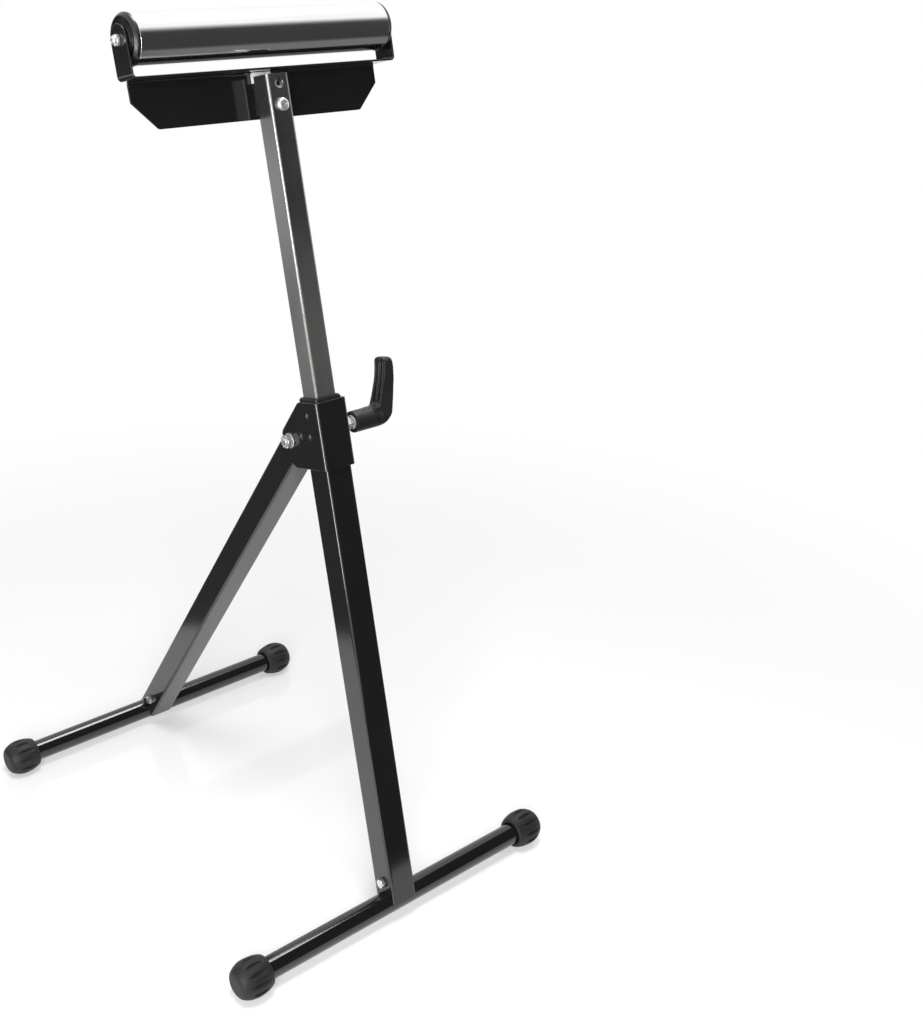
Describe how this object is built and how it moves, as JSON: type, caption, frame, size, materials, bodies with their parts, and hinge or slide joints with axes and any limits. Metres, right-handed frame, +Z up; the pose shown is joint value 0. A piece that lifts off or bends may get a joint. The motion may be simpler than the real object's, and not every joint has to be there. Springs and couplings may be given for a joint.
{
  "type": "folding roller stand",
  "caption": "Folding A-frame work support: a leaning post with a sliding, clamped mast that carries a wide bright roller, a hinged rear leg and foot bars with rubber feet.",
  "frame": {"origin": "on the floor, midway between the two foot bars and midway along them", "axes": "+X along the roller towards the clamp lever, -Y to the front where the post stands, +Z up"},
  "size_m": [0.4254, 0.5504, 0.9341],
  "materials": {
    "black_paint": "glossy black powder coat on steel tube and sheet",
    "zinc_steel": "zinc-plated steel",
    "bright_steel": "bright plated steel",
    "black_plastic": "satin black moulding",
    "white_plastic": "natural white moulding",
    "rubber": "matt black moulded rubber"
  },
  "bodies": {
    "frame": {"post_tube": "black_paint", "guide_bush": "black_plastic", "gusset_bracket": "black_paint", "clamp_nut": "zinc_steel", "pivot_bolt": "zinc_steel", "pivot_nut": "zinc_steel", "pivot_washer_left": "zinc_steel", "pivot_washer_right": "zinc_steel", "front_foot_tab": "black_paint", "front_foot_bolt": "zinc_steel", "front_foot_nut": "zinc_steel", "front_foot_bar": "black_paint", "front_foot_left": "rubber", "front_foot_right": "rubber"},
    "head": {"mast_tube": "zinc_steel", "mast_plug": "black_plastic", "head_spacer": "white_plastic", "head_bracket": "black_paint", "head_screw": "zinc_steel", "head_nut": "zinc_steel", "roller_axle": "zinc_steel", "axle_nut_left": "zinc_steel", "axle_nut_right": "zinc_steel", "axle_washer_left": "zinc_steel", "axle_washer_right": "zinc_steel"},
    "roller": {"roller_tube": "bright_steel", "roller_end_left": "black_plastic", "roller_end_right": "black_plastic", "roller_bearing_left": "bright_steel", "roller_bearing_right": "bright_steel"},
    "clamp": {"clamp_stud": "zinc_steel", "clamp_insert": "zinc_steel", "clamp_lever": "black_plastic"},
    "leg": {"leg_tube": "black_paint", "pivot_sleeve": "zinc_steel", "rear_foot_tab": "black_paint", "rear_foot_bolt": "zinc_steel", "rear_foot_nut": "zinc_steel", "rear_foot_bar": "black_paint", "rear_foot_left": "rubber", "rear_foot_right": "rubber"}
  },
  "joints": [
    {"name": "head_height", "type": "slide", "parent": "frame", "child": "head", "axis": [0, 0.2368, 0.9715], "range_m": [-0.272, 0.13]},
    {"name": "roller_spin", "type": "hinge", "parent": "head", "child": "roller", "pos_m": [0, -0.03002, 0.91045], "axis": [1, 0, 0], "continuous": true},
    {"name": "clamp_turn", "type": "hinge", "parent": "frame", "child": "clamp", "pos_m": [0, -0.12824, 0.53709], "axis": [1, 0, 0], "range_deg": [0, 270]},
    {"name": "leg_fold", "type": "hinge", "parent": "frame", "child": "leg", "pos_m": [0, -0.09435, 0.51905], "axis": [1, 0, 0], "range_deg": [-48.6, 0]}
  ]
}
